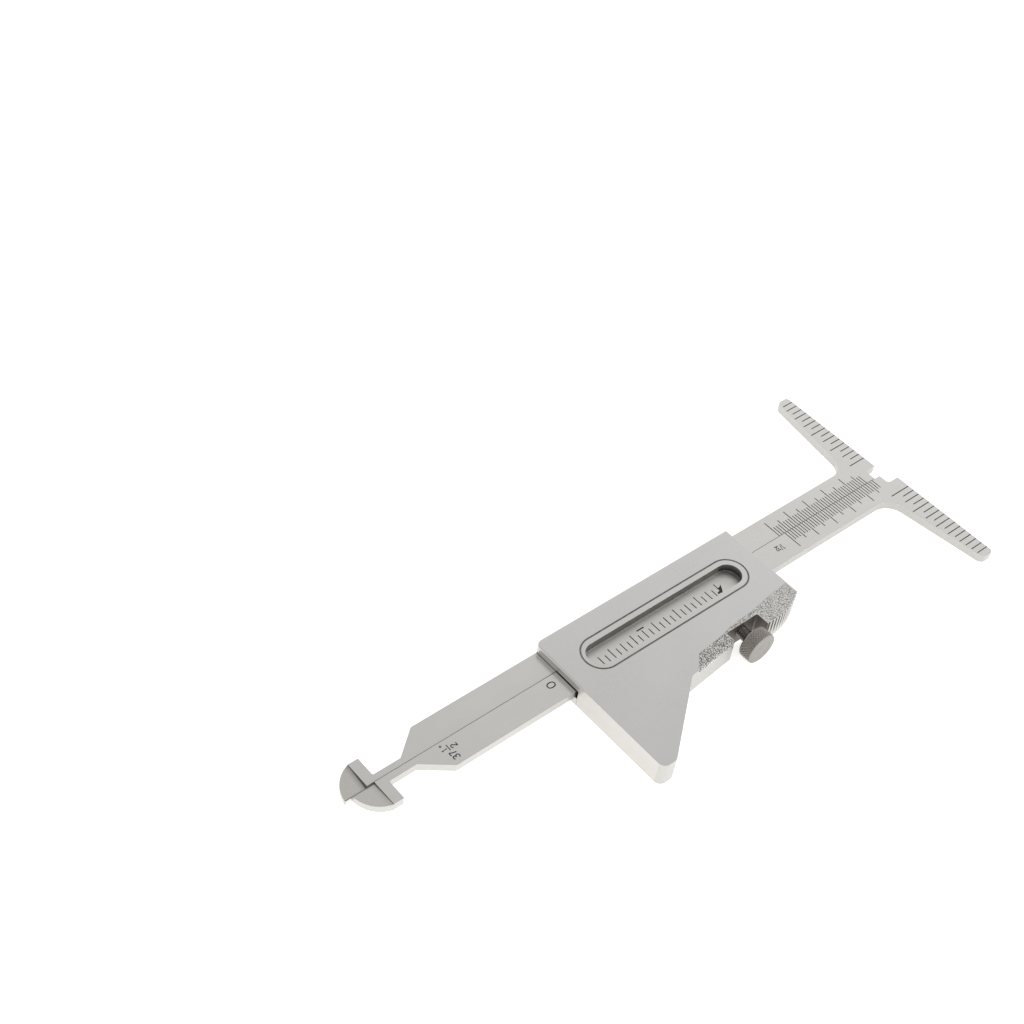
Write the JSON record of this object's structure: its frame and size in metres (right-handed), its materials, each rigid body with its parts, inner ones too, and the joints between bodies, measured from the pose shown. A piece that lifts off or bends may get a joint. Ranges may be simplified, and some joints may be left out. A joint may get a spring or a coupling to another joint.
{
  "type": "welding inspection gauge",
  "caption": "Flat steel hi-lo pipe alignment gauge: twin sliding graduated blades with half hooks and wings, a slotted body with a triangular foot, and a knurled lock screw.",
  "frame": {"origin": "on the back face, on the parting line between the blades, at the middle of the body's length", "axes": "+X along the blades from the hooks to the wings, +Y across towards the left blade, +Z out of the graduated face"},
  "size_m": [0.1597, 0.064, 0.0076],
  "materials": {
    "body_steel": "satin stainless steel, fine bead-blasted grain",
    "blade_steel": "satin ground stainless steel with dark filled graduations",
    "cover_steel": "satin ground stainless steel",
    "fastener_steel": "turned steel",
    "screw_steel": "knurled darker steel",
    "spring_steel": "blued spring steel",
    "gib_brass": "plain brass"
  },
  "bodies": {
    "body": {"body": "body_steel", "back_cover": "cover_steel", "cover_screws": "fastener_steel", "gib_strip": "gib_brass", "gib_spring": "spring_steel"},
    "left_blade": {"left_blade": "blade_steel"},
    "right_blade": {"right_blade": "blade_steel"},
    "lock_pad": {"lock_pad": "gib_brass"},
    "lock_screw": {"lock_screw": "screw_steel"}
  },
  "joints": [
    {"name": "left_slide", "type": "slide", "parent": "body", "child": "left_blade", "axis": [1, 0, 0], "range_m": [-0.0355, 0.046]},
    {"name": "right_slide", "type": "slide", "parent": "body", "child": "right_blade", "axis": [1, 0, 0], "range_m": [-0.0372, 0.0443]},
    {"name": "lock_travel", "type": "slide", "parent": "body", "child": "lock_pad", "axis": [0, -1, 0], "range_m": [0, 0.0005]},
    {"name": "lock_turn", "type": "hinge", "parent": "lock_pad", "child": "lock_screw", "pos_m": [0.0121, -0.0145, 0.0034], "axis": [0, -1, 0], "range_deg": [0, 360]}
  ],
  "couplings": [
    {"joint": "lock_turn", "follows": "lock_travel", "rad_per_m": 12566}
  ]
}
